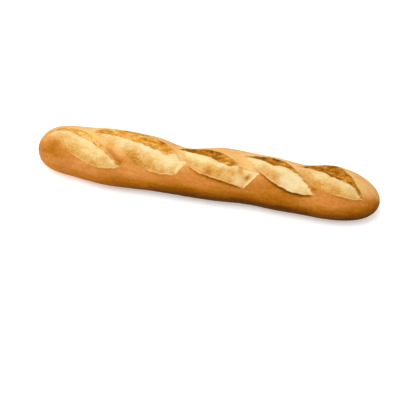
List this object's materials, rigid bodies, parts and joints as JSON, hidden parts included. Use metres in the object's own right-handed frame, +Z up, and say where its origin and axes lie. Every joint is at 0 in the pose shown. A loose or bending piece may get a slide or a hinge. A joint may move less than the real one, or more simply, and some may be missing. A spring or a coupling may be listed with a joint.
{
  "type": "baguette",
  "caption": "Long crusty wheat loaf with rounded ends, a flat underside and overlapping diagonal slashes whose raised ears open onto pale crumb.",
  "frame": {"origin": "bottom centre of the loaf's bounding box, on the flat underside", "axes": "+X along the loaf towards its slightly more pointed end, +Y towards the side that the slash ears stand on, +Z up"},
  "size_m": [0.46, 0.0768, 0.0617],
  "materials": {
    "crust": "golden brown baked crust, satin on the sides and floury matt in the slashes"
  },
  "bodies": {
    "root": {"baguette": "crust"}
  },
  "joints": []
}
